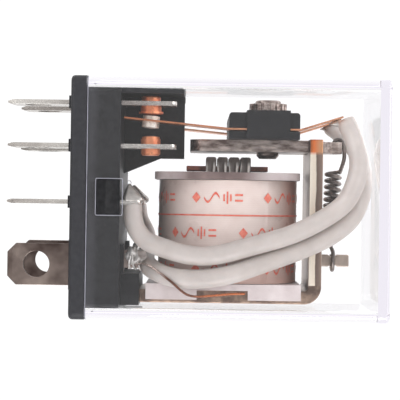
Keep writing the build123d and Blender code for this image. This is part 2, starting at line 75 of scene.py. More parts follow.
# Places on the relay that the looks follow, in millimetres.
COIL_Z = 17.75  # the coil's axis
TAPE_X = (-2.2, 9.55)  # the ends of the tape round the coil
TAPE_Y, TAPE_Z = 7.2, 8.05  # the half widths of its oval
POLE_Y = 6.5  # the two poles' distance from the middle
FLANGE_TOP = 1.8  # the base's flange, on which the cover stands
YOKE_INNER, YOKE_OUTER = 27.0, 28.7  # the faces of the yoke's long plate
YOKE_FOOT_X = 9.7  # where that plate turns into the foot behind the coil
HORN_X = (-5.6, -5.2)  # where the yoke's bronze-coloured end, which the armature rocks on, fades
WIRE_Z = (7.0, 17.0)  # from the coil leads' solder to the winding
SHEET_PITCH = 1.33  # between the core's four sheets
PAINTED_HIGHLIGHT_X = (-4.4, -3.8)  # where the painted highlights on those sheets begin
FLANGE_INNER_X = (-2.3, -1.9)  # where the painted shade on the bobbin's flange under the armature fades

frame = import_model()
cad_low, cad_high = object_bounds()
nodes = frame["nodes"]
scene = bpy.context.scene


def mm(*xyz):
    """A point given in millimetres, as a vector in metres."""
    return Vector(xyz) * MM


def placed(name, data):
    """A new object in the scene, from its mesh, light or camera."""
    made = bpy.data.objects.new(name, data)
    scene.collection.objects.link(made)
    return made


# ---- Materials ----------------------------------------------------------------------------------


class Nodes:
    """Short calls that add nodes to a tree. Any input is a value or another node's output."""

    def __init__(self, tree):
        self.tree = tree

    def feed(self, socket, value):
        """Puts a value or another node's output into an input."""
        if isinstance(value, bpy.types.NodeSocket):
            self.tree.links.new(value, socket)
        elif socket.type == "RGBA":
            socket.default_value = tuple(value)[:3] + (1.0,)
        else:
            socket.default_value = value

    def add(self, kind, inputs=None, **settings):
        """A node with its settings and inputs."""
        made = self.tree.nodes.new("ShaderNode" + kind)
        for key, value in settings.items():
            setattr(made, key, value)
        for key, value in (inputs or {}).items():
            self.feed(made.inputs[key], value)
        return made

    def value_ramp(self, factor, low, high, start=0.0, end=1.0):
        """Maps factor from start..end onto low..high."""
        inputs = {"Value": factor, "From Min": start, "From Max": end}
        inputs |= {"To Min": low, "To Max": high}
        return self.add("MapRange", inputs).outputs["Result"]

    def math(self, operation, first, second=0.0):
        """One arithmetic operation on two values."""
        return self.add("Math", {0: first, 1: second}, operation=operation).outputs["Value"]

    def times(self, *factors):
        """The product of several values."""
        product = factors[0]
        for factor in factors[1:]:
            product = self.math("MULTIPLY", product, factor)
        return product

    def inverse(self, value):
        """1 minus a value."""
        return self.math("SUBTRACT", 1.0, value)


class Shade(Nodes):
    """A node material, with the nodes that the materials below share."""

    def __init__(self, name):
        self.material = bpy.data.materials.new(name)
        self.material.use_nodes = True
        super().__init__(self.material.node_tree)
        self.surface = self.tree.nodes["Principled BSDF"]
        self.out = self.tree.nodes["Material Output"]
        self.place = self.add("TexCoord").outputs["Object"]

    def set(self, **inputs):
        """Inputs of the surface, by name with underscores for spaces."""
        for key, value in inputs.items():
            self.feed(self.surface.inputs[key.replace("_", " ")], value)

    def colour(self):
        """The output that feeds the surface's colour."""
        return self.surface.inputs["Base Color"].links[0].from_socket

    def axis(self, name):
        """One object coordinate, in millimetres."""
        split = self.add("SeparateXYZ", {"Vector": self.place})
        return self.times(split.outputs[name], 1 / MM)

    def stretched(self, scale):
        """Object coordinates, scaled per axis."""
        return self.add("Mapping", {"Vector": self.place, "Scale": scale}).outputs["Vector"]

    def noise(self, scale, detail=3.0, roughness=0.55, vector=None):
        """Noise in object coordinates, or in the given ones."""
        inputs = {"Vector": vector or self.place, "Scale": scale}
        inputs |= {"Detail": detail, "Roughness": roughness}
        return self.add("TexNoise", inputs).outputs["Fac"]

    def ramp(self, factor, stops):
        """Colour ramp from a list of (position, colour)."""
        ramp = self.add("ValToRGB", {"Fac": factor})
        elements = ramp.color_ramp.elements
        while len(elements) < len(stops):
            elements.new(0.5)
        for element, (position, colour) in zip(elements, stops):
            element.position = position
            element.color = tuple(colour)[:3] + (1.0,)
        return ramp.outputs["Color"]

    def mix(self, factor, first, second):
        """Two colours mixed. Inputs 6 and 7 and output 2 are the node's sockets for colours."""
        return self.add("Mix", {0: factor, 6: first, 7: second}, data_type="RGBA").outputs[2]

    def bump(self, height, strength, depth):
        """Surface relief, its depth in millimetres."""
        inputs = {"Height": height, "Strength": strength, "Distance": depth * MM}
        self.set(Normal=self.add("Bump", inputs).outputs["Normal"])


def shaded(value):
    """Linear colour from an sRGB triple of 0..255."""
    return tuple(c / 255 / 12.92 if c <= 10 else ((c / 255 + 0.055) / 1.055) ** 2.4 for c in value)


def tones(*stops):
    """Stops of a colour ramp, from (position, sRGB triple) pairs."""
    return [(position, shaded(value)) for position, value in stops]


def moulded(name, dark, light, rough, grain=900.0, speck=0.08):
    """Moulded plastic: faint mottling, fine moulded grain and patchy gloss."""
    made = Shade(name)
    mottle = made.noise(grain, 4.0)
    made.set(
        Base_Color=made.ramp(mottle, tones((0.3, dark), (0.7, light))),
        Roughness=made.value_ramp(made.noise(grain / 3), rough - 0.08, rough + 0.1),
        Specular_IOR_Level=0.3,
    )
    made.bump(made.noise(grain * 6, 2.0), speck, 0.04)
    return made


def black_moulding():
    """Black plastic, with a painted grey sheen in the corner beside the flange, and the flange
    itself a little lighter.
    """
    made = moulded("black_moulding", (17, 17, 19), (38, 38, 41), 0.42, grain=1600.0, speck=0.2)
    plain = made.colour()
    edge = made.math("ADD", made.axis("Z"), made.times(made.noise(700.0, 3.0), 0.8))
    near = made.value_ramp(edge, 1.0, 0.0, FLANGE_TOP + 0.2, FLANGE_TOP + 1.8)
    above = made.value_ramp(made.axis("Z"), 0.0, 1.0, FLANGE_TOP - 0.06, FLANGE_TOP)
    flange = made.times(made.inverse(above), 0.22)
    # Painted sheen in the corner above the flange, mixed with a lighter tone on the flange itself.
    painted_sheen_and_flange = made.math("MAXIMUM", made.times(near, above, 0.5), flange)
    made.set(Base_Color=made.mix(painted_sheen_and_flange, plain, shaded((104, 104, 110))))
    return made


def metal(name, dark, light, rough, grain=1500.0, stretch=(1, 1, 1), scratch=0.12, metallic=1.0):
    """Metal with tonal patches and fine marks, drawn out along one axis by stretch."""
    made = Shade(name)
    lay = made.stretched(stretch)
    patches = made.noise(grain / 4, 3.0, vector=lay)
    marks = made.noise(grain * 3, 4.0, 0.7, vector=lay)
    made.set(
        Base_Color=made.ramp(patches, tones((0.35, dark), (0.68, light))),
        Metallic=metallic,
        Roughness=made.value_ramp(marks, rough - 0.08, rough + 0.14, 0.3, 0.7),
    )
    made.bump(marks, scratch, 0.03)
    return made


def tinned_brass():
    """Tinned brass: bright and slightly milky on the blades, plain metal above the base."""
    made = metal(
        "tinned_brass", (196, 188, 182), (244, 240, 234), 0.22, stretch=(1, 1, 0.25), scratch=0.04
    )
    made.set(Metallic=made.value_ramp(made.axis("Z"), 0.6, 1.0, -0.2, 0.2))
    return made


def bobbin_nylon():
    """Off-white nylon, with painted shade on the flange under the armature: darker and greyer
    there, most of all near the middle.
    """
    made = moulded("bobbin_nylon", (202, 190, 188), (222, 212, 210), 0.4, grain=600.0)
    light = made.colour()
    # Painted shade for the flange under the armature: a mottled dark grey, strongest near the
    # middle.
    mottled = made.ramp(made.noise(420.0, 4.0), tones((0.3, (92, 76, 73)), (0.7, (132, 114, 110))))
    reach = made.math("ABSOLUTE", made.math("SUBTRACT", made.axis("Z"), COIL_Z - 1.5))
    reach = made.math("ADD", reach, made.times(made.noise(300.0, 3.0), 2.0))
    middle = made.value_ramp(reach, 1.0, 0.35, 4.0, 7.0)
    upper = made.times(made.value_ramp(made.axis("X"), 1.0, 0.0, *FLANGE_INNER_X), middle)
    made.set(Base_Color=made.mix(upper, light, mottled))
    return made


def yoke_steel():
    """Plated steel whose sheared edges show a bright burnished strip beside a dark torn one."""
    made = metal(
        "yoke_steel", (150, 136, 126), (186, 171, 159), 0.34, grain=3000.0, stretch=(0.4, 1, 1)
    )
    plate = made.colour()
    depth = made.math("ADD", made.axis("Z"), made.times(made.noise(350.0, 3.0), 0.35))
    strip = made.ramp(
        made.value_ramp(depth, 0.0, 1.0, YOKE_INNER, YOKE_OUTER + 0.1),
        tones(
            (0.0, (150, 120, 90)),
            (0.12, (255, 245, 228)),
            (0.48, (252, 238, 218)),
            (0.53, (116, 98, 88)),
            (0.88, (152, 132, 120)),
            (0.96, (178, 150, 126)),
        ),
    )
    bronze = made.ramp(
        made.value_ramp(depth, 0.0, 1.0, YOKE_INNER, YOKE_OUTER),
        tones((0.0, (96, 70, 50)), (0.35, (236, 128, 66)), (0.75, (214, 160, 120))),
    )
    horn = made.value_ramp(made.axis("X"), 1.0, 0.0, *HORN_X)
    normal = made.add("NewGeometry").outputs["Normal"]
    sideways = made.add("SeparateXYZ", {"Vector": normal}).outputs["Y"]
    edge = made.math("GREATER_THAN", made.math("ABSOLUTE", sideways), 0.8)
    leg = made.math("LESS_THAN", made.axis("X"), YOKE_FOOT_X)
    under_face = made.math("LESS_THAN", made.axis("Z"), YOKE_OUTER - 0.1)
    torn = made.ramp(made.noise(900.0, 4.0), tones((0.35, (104, 86, 76)), (0.7, (176, 152, 134))))
    plate = made.mix(made.times(edge, made.inverse(leg)), plate, torn)
    long_edge = made.times(edge, leg, under_face)
    made.set(Base_Color=made.mix(long_edge, plate, made.mix(horn, strip, bronze)))
    return made


def lamination_steel():
    """Dark electrical sheet, with painted highlights streaking down each one where its burrs catch
    the light.
    """
    made = metal("lamination_steel", (56, 50, 48), (112, 100, 94), 0.42, stretch=(0.2, 1, 1))
    dark = made.colour()
    wavy = made.times(made.noise(500.0, 3.0), 0.3)
    within = made.math("FRACT", made.math("ADD", made.times(made.axis("Z"), 1 / SHEET_PITCH), wavy))
    # Painted highlights: two bright bands within each sheet's pitch, on the lower part of the pole.
    lit = (
        (0.14, 0.0),
        (0.22, 1.0),
        (0.32, 0.85),
        (0.4, 0.0),
        (0.55, 0.0),
        (0.63, 0.9),
        (0.7, 0.2),
        (0.9, 0.08),
    )
    painted_highlight = made.ramp(within, [(position, (level,) * 3) for position, level in lit])
    low = made.value_ramp(made.axis("X"), 0.0, 1.0, *PAINTED_HIGHLIGHT_X)
    factor = made.times(painted_highlight, made.times(low, 0.85))
    made.set(Base_Color=made.mix(factor, dark, shaded((244, 238, 232))))
    return made


def lead_wire():
    """Coil lead: tinned where it leaves the solder, then dark enamel, then bright copper."""
    made = metal(
        "coil_lead_wire", (150, 78, 42), (206, 122, 78), 0.28, stretch=(1, 1, 0.3), metallic=0.8
    )
    bright = made.colour()
    along = made.ramp(
        made.value_ramp(made.axis("Z"), 0.0, 1.0, *WIRE_Z),
        tones(
            (0.0, (214, 208, 202)),
            (0.3, (196, 188, 182)),
            (0.4, (58, 46, 40)),
            (0.68, (84, 62, 52)),
            (0.85, (190, 112, 70)),
        ),
    )
    made.set(Base_Color=made.mix(0.75, bright, along))
    return made


def clear_cover():
    """Clear moulded plastic with a faint cool tint in its depth. It casts no dark shadow."""
    made = Shade("clear_polycarbonate")
    ripple = made.noise(120.0, 2.0)
    made.set(
        Base_Color=(1, 1, 1, 1),
        Roughness=made.value_ramp(made.noise(2500.0), 0.0, 0.035, 0.4, 0.7),
        IOR=1.56,
        Transmission_Weight=1.0,
    )
    made.bump(ripple, 0.02, 0.2)
    path = made.add("LightPath")
    through = made.math("MAXIMUM", path.outputs["Is Shadow Ray"], path.outputs["Is Diffuse Ray"])
    # A ray caught in the wall leaves it at its next face, so that the edges stay light.
    facing_in = made.add("NewGeometry").outputs["Backfacing"]
    reflected = made.math("GREATER_THAN", path.outputs["Glossy Depth"], 0.5)
    through = made.math("MAXIMUM", through, made.times(reflected, facing_in))
    clear = made.add("BsdfTransparent", {"Color": (0.985, 0.98, 0.99, 1)})
    mixed = made.add("MixShader", {0: through, 1: made.surface.outputs[0], 2: clear.outputs[0]})
    made.tree.links.new(mixed.outputs[0], made.out.inputs["Surface"])
    tint = made.add("VolumeAbsorption", {"Color": (0.84, 0.80, 0.90, 1), "Density": 36.0})
    made.tree.links.new(tint.outputs[0], made.out.inputs["Volume"])
    return made


def silicone():
    """Off-white silicone tube: soft sheen, light let through, dusty patches."""
    made = Shade("silicone_sleeve")
    dust = made.noise(500.0, 4.0)
    made.set(
        Base_Color=made.ramp(dust, tones((0.3, (186, 178, 172)), (0.7, (201, 193, 187)))),
        Roughness=made.value_ramp(made.noise(900.0), 0.34, 0.52),
        Subsurface_Weight=0.35,
        Subsurface_Radius=(0.0008, 0.0006, 0.0005),
        Subsurface_Scale=1.0,
    )
    made.bump(made.noise(700.0, 3.0), 0.15, 0.12)
    return made


def tape_film():
    """White polyester tape over the winding: glossy film with faint turns of wire under it."""
    made = Shade("coil_tape")
    turns = made.add(
        "TexWave",
        {"Vector": made.place, "Scale": 1250.0, "Distortion": 0.6, "Detail": 1.0},
        wave_type="BANDS",
        bands_direction="X",
    ).outputs["Fac"]
    cloud = made.noise(260.0, 3.0)
    film = made.ramp(cloud, tones((0.3, (222, 202, 193)), (0.7, (236, 222, 214))))
    # Painted shade: the film darkens to a brown where it turns away from the view.
    glance = made.add("LayerWeight", {"Blend": 0.35}).outputs["Facing"]
    painted_shade_at_edges = made.value_ramp(glance, 0.0, 0.85, 0.1, 0.75)
    base = made.mix(painted_shade_at_edges, film, shaded((112, 92, 84)))
    # The copper under the film warms it where the film turns away and near the coil's far end.
    top, end = COIL_Z + TAPE_Z, TAPE_X[1]
    turned = made.value_ramp(made.axis("Z"), 0.0, 0.6, top - 2.25, top - 0.25)
    lower = made.value_ramp(made.axis("X"), 0.0, 0.35, end - 3.55, end - 0.55)
    base = made.mix(made.math("MAXIMUM", turned, lower), base, shaded((196, 112, 84)))
    made.set(
        Base_Color=made.mix(made.times(turns, 0.12), base, shaded((205, 178, 160))),
        Roughness=made.value_ramp(cloud, 0.22, 0.36),
        Coat_Weight=0.3,
        Coat_Roughness=0.15,
    )
    made.bump(turns, 0.08, 0.05)
    return made


def ink():
    """Red printing ink, thin enough for the film to show through in places."""
    made = Shade("print_ink")
    mottled = made.noise(2600.0, 3.0)
    made.set(
        Base_Color=made.ramp(mottled, tones((0.3, (222, 88, 68)), (0.75, (242, 146, 122)))),
        Roughness=made.value_ramp(mottled, 0.3, 0.5),
    )
    return made


black = black_moulding()
carrier_black = moulded("carrier_moulding", (8, 8, 10), (24, 24, 27), 0.46, 1600.0, speck=0.2)
nylon = bobbin_nylon()
cover_clear = clear_cover()
tinned = tinned_brass()
tarnished = metal("tarnished_brass", (92, 78, 74), (176, 160, 152), 0.36, grain=900.0)
copper = metal("contact_copper", (202, 100, 62), (242, 164, 122), 0.3, metallic=0.6)
ring_copper = metal("ring_copper", (96, 54, 42), (168, 98, 76), 0.42, grain=4000.0, metallic=0.7)
strand_metal = metal("braid_strands", (150, 122, 108), (206, 180, 164), 0.36, metallic=0.7)
leaf_copper = metal("leaf_copper", (206, 128, 92), (252, 196, 158), 0.28, stretch=(1, 1, 0.1))
silver = metal("contact_silver", (206, 198, 184), (255, 252, 244), 0.28, metallic=0.45)
nickel = metal(
    "nickel_steel", (112, 96, 90), (214, 200, 192), 0.32, grain=9000.0, stretch=(1, 1, 0.3)
)
yoke_plate = yoke_steel()
lamination = lamination_steel()
coil_wire = lead_wire()
magnet_wire = metal("enamelled_copper", (120, 60, 34), (176, 96, 58), 0.3, stretch=(4, 1, 1))
spring_wire = metal("spring_wire", (88, 82, 80), (168, 158, 152), 0.28)
solder = metal("solder", (150, 145, 140), (236, 232, 226), 0.34, metallic=0.85)
# A lighter copy of the solder for the coil joints: painted light on lumps that sit in shade.
solder_painted_lighter = metal("solder_painted_lighter", (176, 172, 168), (250, 248, 244), 0.42, metallic=0.6)
# Pale grey for the beads painted where the cover's edges catch the light.
painted_glint = moulded("painted_edge_glint", (142, 142, 152), (172, 172, 184), 0.3)
sleeve_rubber = silicone()
tape = tape_film()
print_ink = ink()

CAD_MATERIALS = {
    "base": black,
    "contact_carrier": carrier_black,
    "cover": cover_clear,
    "armature": nickel,
    "yoke": yoke_plate,
    "armature_rivet": nickel,
    "lock_washer": nickel,
    "core_laminations": lamination,
    "shading_ring": ring_copper,
    "bobbin": nylon,
    "winding": magnet_wire,
    "coil_tape": tape,
    "return_spring": spring_wire,
    "com_solder": solder,
    "coil_solder": solder,
}
for side in SIDES:
    CAD_MATERIALS.update(
        {
            f"nc_terminal_{side}": tinned,
            f"no_terminal_{side}": tinned,
            f"com_terminal_{side}": tinned,
            f"coil_terminal_{side}": tarnished,
            f"nc_contact_{side}": copper,
            f"no_contact_{side}": copper,
            f"moving_contact_{side}": silver,
            f"contact_leaf_{side}": leaf_copper,
            f"leaf_solder_{side}": solder,
            f"lead_braid_{side}": strand_metal,
            f"lead_sleeve_{side}": sleeve_rubber,
            f"coil_lead_{side}": coil_wire,
        }
    )
for name, shade in CAD_MATERIALS.items():
    slots = nodes[name].material_slots
    if not slots:
        nodes[name].data.materials.append(shade.material)
    for slot in slots:
        slot.material = shade.material


# ---- Mesh helpers -------------------------------------------------------------------------------


def curve_points(points, count):
    """A smooth run of evenly spaced points through the given ones (Catmull-Rom)."""
    steps = 24
    ends = [2 * points[0] - points[1], *points, 2 * points[-1] - points[-2]]
    dense = []
    for first, start, end, last in zip(ends, ends[1:], ends[2:], ends[3:]):
        for step in range(steps):
            t = step / steps
            dense.append(
                0.5
                * (
                    2 * start
                    + (end - first) * t
                    + (2 * first - 5 * start + 4 * end - last) * t * t
                    + (3 * start - first - 3 * end + last) * t**3
                )
            )
    dense.append(points[-1].copy())
    lengths = [0.0]
    for before, after in zip(dense, dense[1:]):
        lengths.append(lengths[-1] + (after - before).length)
    run, spot = [], 0
    for place in range(count):
        goal = lengths[-1] * place / (count - 1)
        while spot < len(dense) - 2 and lengths[spot + 1] < goal:
            spot += 1
        span = lengths[spot + 1] - lengths[spot]
        run.append(dense[spot].lerp(dense[spot + 1], (goal - lengths[spot]) / span if span else 0))
    return run


def frames(path):
    """Two directions square to the path at each of its points, carried along it without twist."""
    side = (path[1] - path[0]).orthogonal().normalized()
    made = []
    for place in range(len(path)):
        ahead = path[min(place + 1, len(path) - 1)] - path[max(place - 1, 0)]
        ahead.normalize()
        side = (side - ahead * side.dot(ahead)).normalized()
        made.append((side, ahead.cross(side)))
    return made


def add_tube(bm, path, radius, sides=12, close=True):
    """A tube round a path. radius is a number or a function of (share along the path, angle)."""
    rings = []
    for place, (point, (side, up)) in enumerate(zip(path, frames(path))):
        ring = []
        for corner in range(sides):
            angle = math.tau * corner / sides
            reach = radius(place / (len(path) - 1), angle) if callable(radius) else radius
            out = side * math.cos(angle) + up * math.sin(angle)
            ring.append(bm.verts.new(point + out * reach))
        rings.append(ring)
    join_rings(bm, rings)
    if close:
        bm.faces.new(reversed(rings[0]))
        bm.faces.new(rings[-1])
    return rings


def join_rings(bm, rings):
    """Faces between one closed ring of vertices and the next."""
    for lower, upper in zip(rings, rings[1:]):
        for corner in range(len(lower)):
            after = (corner + 1) % len(lower)
            bm.faces.new((lower[corner], lower[after], upper[after], upper[corner]))


def finished(name, bm, shade, smooth_angle=50):
    """A mesh object from a bmesh, with its material."""
    bmesh.ops.recalc_face_normals(bm, faces=bm.faces)
    mesh = bpy.data.meshes.new(name)
    bm.to_mesh(mesh)
    bm.free()
    mesh.materials.append(shade.material)
    made = placed(name, mesh)
    mesh.shade_smooth()
    mesh.set_sharp_from_angle(angle=math.radians(smooth_angle))
    return made


def rough_ball(bm, balls, wrinkle, grain, seed):
    """A lump: the hull of squashed balls, each (centre, (rx, ry, rz)), smoothed, then wrinkled.

    wrinkle is the height of the wrinkles, and grain how many stand in a millimetre.
    """
    before = set(bm.verts)
    rows, turns = 8, 14
    points = []
    for centre, radii in balls:
        for row in range(1, rows):
            for step in range(turns):
                lean, turn = math.pi * row / rows, math.tau * step / turns
                flat = math.sin(lean)
                ray = (flat * math.cos(turn), flat * math.sin(turn), math.cos(lean))
                out = Vector([r * k for r, k in zip(ray, radii)])
                points.append(bm.verts.new(centre + out * MM))
    hull = bmesh.ops.convex_hull(bm, input=points)
    spare = dict.fromkeys(hull["geom_interior"] + hull["geom_unused"])
    inside = [part for part in spare if isinstance(part, bmesh.types.BMVert)]
    bmesh.ops.delete(bm, geom=inside, context="VERTS")
    lump = [vert for vert in bm.verts if vert not in before]
    edges = dict.fromkeys(edge for vert in lump for edge in vert.link_edges)
    bmesh.ops.subdivide_edges(bm, edges=list(edges), cuts=2, use_grid_fill=True)
    middle = sum((centre for centre, _ in balls), Vector()) / len(balls)
    lump = [vert for vert in bm.verts if vert not in before]
    for _ in range(2):
        bmesh.ops.smooth_vert(
            bm, verts=lump, factor=0.5, use_axis_x=True, use_axis_y=True, use_axis_z=True
        )
    for vert in lump:
        away = (vert.co - middle).normalized()
        vert.co += away * wrinkle * MM * noise.noise(vert.co / MM * grain + Vector((seed, 0, 0)))


# ---- Flexible leads -----------------------------------------------------------------------------

SLEEVE_R, SLEEVE_BORE_R, SLEEVE_WAVE, SLEEVE_LIP = 1.08, 0.72, 0.045, 0.1
SLEEVE_SIDES = 28
BRAID_R, STRAND_R, STRANDS = 0.4, 0.19, 9  # strands of radius STRAND_R wound at radius BRAID_R
LAY_POINTS = 24  # points of the lead's path in one turn of its strands
LEAD_POINTS = 150
LEAD_ROUTES = {
    "front": [
        (-9.15, -6.5, 30.95),
        (-6.9, -7.0, 31.9),
        (-4.0, -7.8, 32.4),
        (-0.9, -8.4, 31.5),
        (1.2, -8.55, 29.7),
        (3.6, -8.6, 25.4),
        (5.3, -8.6, 20.1),
        (6.3, -8.6, 16.2),
        (6.3, -8.6, 13.4),
        (5.55, -8.5, 10.5),
        (4.75, -8.25, 8.55),
        (3.6, -7.9, 7.5),
        (2.2, -7.5, 7.0),
        (0.8, -7.25, 6.9),
    ],
    "back": [
        (-9.0, 6.5, 30.45),
        (-7.75, 4.6, 31.75),
        (-5.6, 0.2, 33.1),
        (-3.2, -3.6, 33.25),
        (-0.7, -6.1, 32.9),
        (1.9, -7.1, 31.7),
        (3.75, -7.3, 29.6),
        (5.0, -7.3, 27.3),
        (6.1, -7.4, 24.7),
        (7.35, -7.95, 21.3),
        (8.35, -8.4, 18.4),
        (8.9, -8.5, 15.6),
        (9.0, -8.6, 13.4),
        (8.8, -8.4, 11.4),
        (8.3, -7.4, 9.8),
        (7.75, -5.2, 8.8),
        (7.1, -1.8, 8.25),
        (6.0, 2.0, 8.2),
        (4.3, 5.0, 8.1),
        (2.5, 6.4, 7.2),
        (0.8, 6.8, 6.9),
    ],
}


def sleeve(side, path):
    """Silicone tube: slightly wavy outside, rounded lips, and an open bore at each end."""
    bm = bmesh.new()
    seed = {"front": 7.0, "back": 19.0}[side]

    def outside(share, angle):
        place = Vector((share * 9 + seed, math.cos(angle) * 0.7, math.sin(angle) * 0.7))
        return (SLEEVE_R + SLEEVE_WAVE * noise.noise(place)) * MM

    outer = add_tube(bm, path, outside, SLEEVE_SIDES, close=False)
    inner = add_tube(bm, path, SLEEVE_BORE_R * MM, SLEEVE_SIDES, close=False)
    for end, beyond in ((0, path[0] - path[1]), (-1, path[-1] - path[-2])):
        lip = []
        for outer_vert, inner_vert in zip(outer[end], inner[end]):
            middle = (outer_vert.co + inner_vert.co) / 2
            lip.append(bm.verts.new(middle + beyond.normalized() * SLEEVE_LIP * MM))
        join_rings(bm, [outer[end], lip, inner[end]])
    made = finished(f"sleeve_{side}", bm, sleeve_rubber, 70)
    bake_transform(made)
    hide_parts(f"lead_sleeve_{side}")


def braid(side, path):
    """Bundle of fine strands twisted together, inside the sleeve."""
    bm = bmesh.new()
    directions = frames(path)
    for strand in range(STRANDS):
        run = []
        for place, (point, (along_side, up)) in enumerate(zip(path, directions)):
            angle = math.tau * (strand / STRANDS + place / LAY_POINTS)
            out = along_side * math.cos(angle) + up * math.sin(angle)
            run.append(point + out * BRAID_R * MM)
        add_tube(bm, run, STRAND_R * MM, 6)
    made = finished(f"braid_{side}", bm, strand_metal, 80)
    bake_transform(made)
    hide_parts(f"lead_braid_{side}")


for side, route in LEAD_ROUTES.items():
    lead_path = curve_points([mm(*point) for point in route], LEAD_POINTS)
    sleeve(side, lead_path)
    braid(side, lead_path)

# ---- Return spring ------------------------------------------------------------------------------

SPRING_R, SPRING_WIRE_R, SPRING_TURNS = 0.8, 0.235, 11
SPRING_TOP, SPRING_BOTTOM = (-3.5, 0, 30.2), (4.6, 0, 29.9)  # the ends of the coils' axis
SPRING_POINTS = 900
UPPER_HOOK = (
    (-5.8, 0, 30.2),
    (-6.4, 0, 30.2),
    (-7.05, 0, 30.3),
    (-7.22, 0, 30.72),
    (-6.98, 0, 31.22),
    (-6.0, 0, 31.42),
    (-4.9, 0, 31.42),
)
LOWER_HOOK = (
    (5.2, -0.55, 30.0),
    (6.0, -0.97, 30.2),
    (7.1, -1.0, 30.2),
    (7.95, -0.6, 30.2),
    (8.1, 0.1, 30.2),
    (7.8, 0.8, 30.2),
    (7.0, 1.0, 30.2),
    (6.3, 0.98, 30.2),
)


def return_spring():
    """Close coils, a hook through the armature's tail and one round the yoke's notched tab."""
    points = [Vector(point) for point in UPPER_HOOK]
    turn_steps = 14
    steps = SPRING_TURNS * turn_steps
    for step in range(steps + 1):
        angle = math.tau * step / turn_steps
        centre = Vector(SPRING_TOP).lerp(Vector(SPRING_BOTTOM), step / steps)
        points.append(centre + Vector((0, math.sin(angle), math.cos(angle))) * SPRING_R)
    points += [Vector(point) for point in LOWER_HOOK]
    bm = bmesh.new()
    path = curve_points([point * MM for point in points], SPRING_POINTS)
    add_tube(bm, path, SPRING_WIRE_R * MM, 10)
    made = finished("spring", bm, spring_wire, 80)
    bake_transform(made)
    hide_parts("return_spring")


return_spring()

# ---- Coil tape and its print --------------------------------------------------------------------

TAPE_THICK = 0.16
FLAP = (math.radians(32), math.radians(118))  # where the tape's second lap begins and ends
PRINT_LIFT = 0.075  # of the ink above the tape
PRINT_ROWS = ((-1.03, 0.0), (2.98, -2.8), (7.1, 0.0))  # each row's X, and its shift round the coil
PRINT_PITCH, PRINT_START = 8.0, -4.05  # from one group to the next, and the middle one's start
RULE_X, RULE_WIDTH = 1.72, 0.16  # the printed line


def tape_point(angle, x, lift=0.0):
    """A point of the tape's outer face. The angle runs from -Y towards +Z."""
    ripple = 0.05 * noise.noise(Vector((x * 0.5, angle * 2.2, 0)))
    flap = 0.07 if FLAP[0] < angle < FLAP[1] else 0.0
    reach_y, reach_z = TAPE_Y + ripple + flap + lift, TAPE_Z + ripple + flap + lift
    return mm(x, -reach_y * math.cos(angle), COIL_Z + reach_z * math.sin(angle))


def tape_wrap():
    """Oval film round the winding, with a second lap whose edge shows as a step."""
    bm = bmesh.new()
    around, along = 240, 26

    def ring(place, lift):
        x = TAPE_X[0] + (TAPE_X[1] - TAPE_X[0]) * place / along
        return [bm.verts.new(tape_point(math.tau * k / around, x, lift)) for k in range(around)]

    outer = [ring(place, 0.0) for place in range(along + 1)]
    inner = [ring(place, -TAPE_THICK) for place in range(along, -1, -1)]
    join_rings(bm, outer + inner + outer[:1])
    made = finished("tape_wrap", bm, tape, 30)
    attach(made, "frame")
    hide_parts("coil_tape")


def rectangle(left, low, right, high):
    """The corners of a rectangle, counter-clockwise."""
    return [(left, low), (right, low), (right, high), (left, high)]


def mark_shapes():
    """Outlines of one printed group, 5.6 wide and 1.4 high: diamond, wave, bars and two dashes."""
    middle, stroke, wave_steps = 0.83, 0.14, 16
    shapes = [[(0.0, 0.82), (0.5, 0.2), (1.0, 0.82), (0.5, 1.45)]]
    wave = []
    for k in range(wave_steps + 1):
        share = k / wave_steps
        wave.append((1.4 + 1.7 * share, middle + 0.5 * math.sin(math.tau * share)))
    for (x, y), (x_next, y_next) in zip(wave, wave[1:]):
        low = [(x, y - stroke), (x_next, y_next - stroke)]
        shapes.append([*low, (x_next, y_next + stroke), (x, y + stroke)])
    for place, reach in enumerate((0.4, 0.7, 0.4)):
        left = 3.5 + 0.36 * place
        shapes.append(rectangle(left, middle - reach, left + 0.17, middle + reach))
    for low in (0.4, 1.04):
        shapes.append(rectangle(4.75, low, 5.6, low + 0.22))
    return shapes


def tape_print():
    """Red marks on the tape, in rows round the coil: generic shapes and a ruled line."""
    bm = bmesh.new()
    radius = (TAPE_Y + TAPE_Z) / 2

    def lay(outline, start_angle, start_x):
        corners = []
        for across, down in outline:
            angle = start_angle + across / radius
            corners.append(bm.verts.new(tape_point(angle, start_x + down, PRINT_LIFT)))
        bm.faces.new(corners)

    for start_x, offset in PRINT_ROWS:
        for group in range(-2, 3):
            start_angle = (group * PRINT_PITCH + PRINT_START + offset) / radius
            for outline in mark_shapes():
                lay(outline, start_angle, start_x)
    line_steps = 160
    across = radius * math.tau / line_steps
    for step in range(line_steps):
        lay(rectangle(0, 0, across, RULE_WIDTH), across * step / radius, RULE_X)
    made = finished("tape_print", bm, print_ink, 60)
    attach(made, "frame")


tape_wrap()
tape_print()

# ---- Solder joints ------------------------------------------------------------------------------

COM_TAIL_Y, COIL_TAIL_Y = 7.0, 6.7
WRAPS = ((0, 6.55), (1, 7.0), (2, 7.55))  # the wire's turns round a coil tail: number and Z
WRAP_X, WRAP_REACH_X, WRAP_REACH_Y, WRAP_WIRE_R = 6.75, 1.2, 1.0, 0.13
WRAP_STEPS = 18


def com_joints():
    """Braid ends flattened to a point and soldered to the common terminals' tails."""
    bm = bmesh.new()
    for sign in SIDES.values():
        y = sign * COM_TAIL_Y
        balls = [
            (mm(-1.35, y, 6.5), (0.3, 0.4, 0.25)),
            (mm(0.2, y + 0.15 * sign, 6.2), (0.42, 1.15, 0.55)),
            (mm(0.15, y + 0.1 * sign, 7.85), (0.4, 1.0, 0.42)),
        ]
        rough_ball(bm, balls, 0.12, 2.2, sign * 3.0)
    made = finished("com_joints", bm, solder, 75)
    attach(made, "frame")
    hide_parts("com_solder")


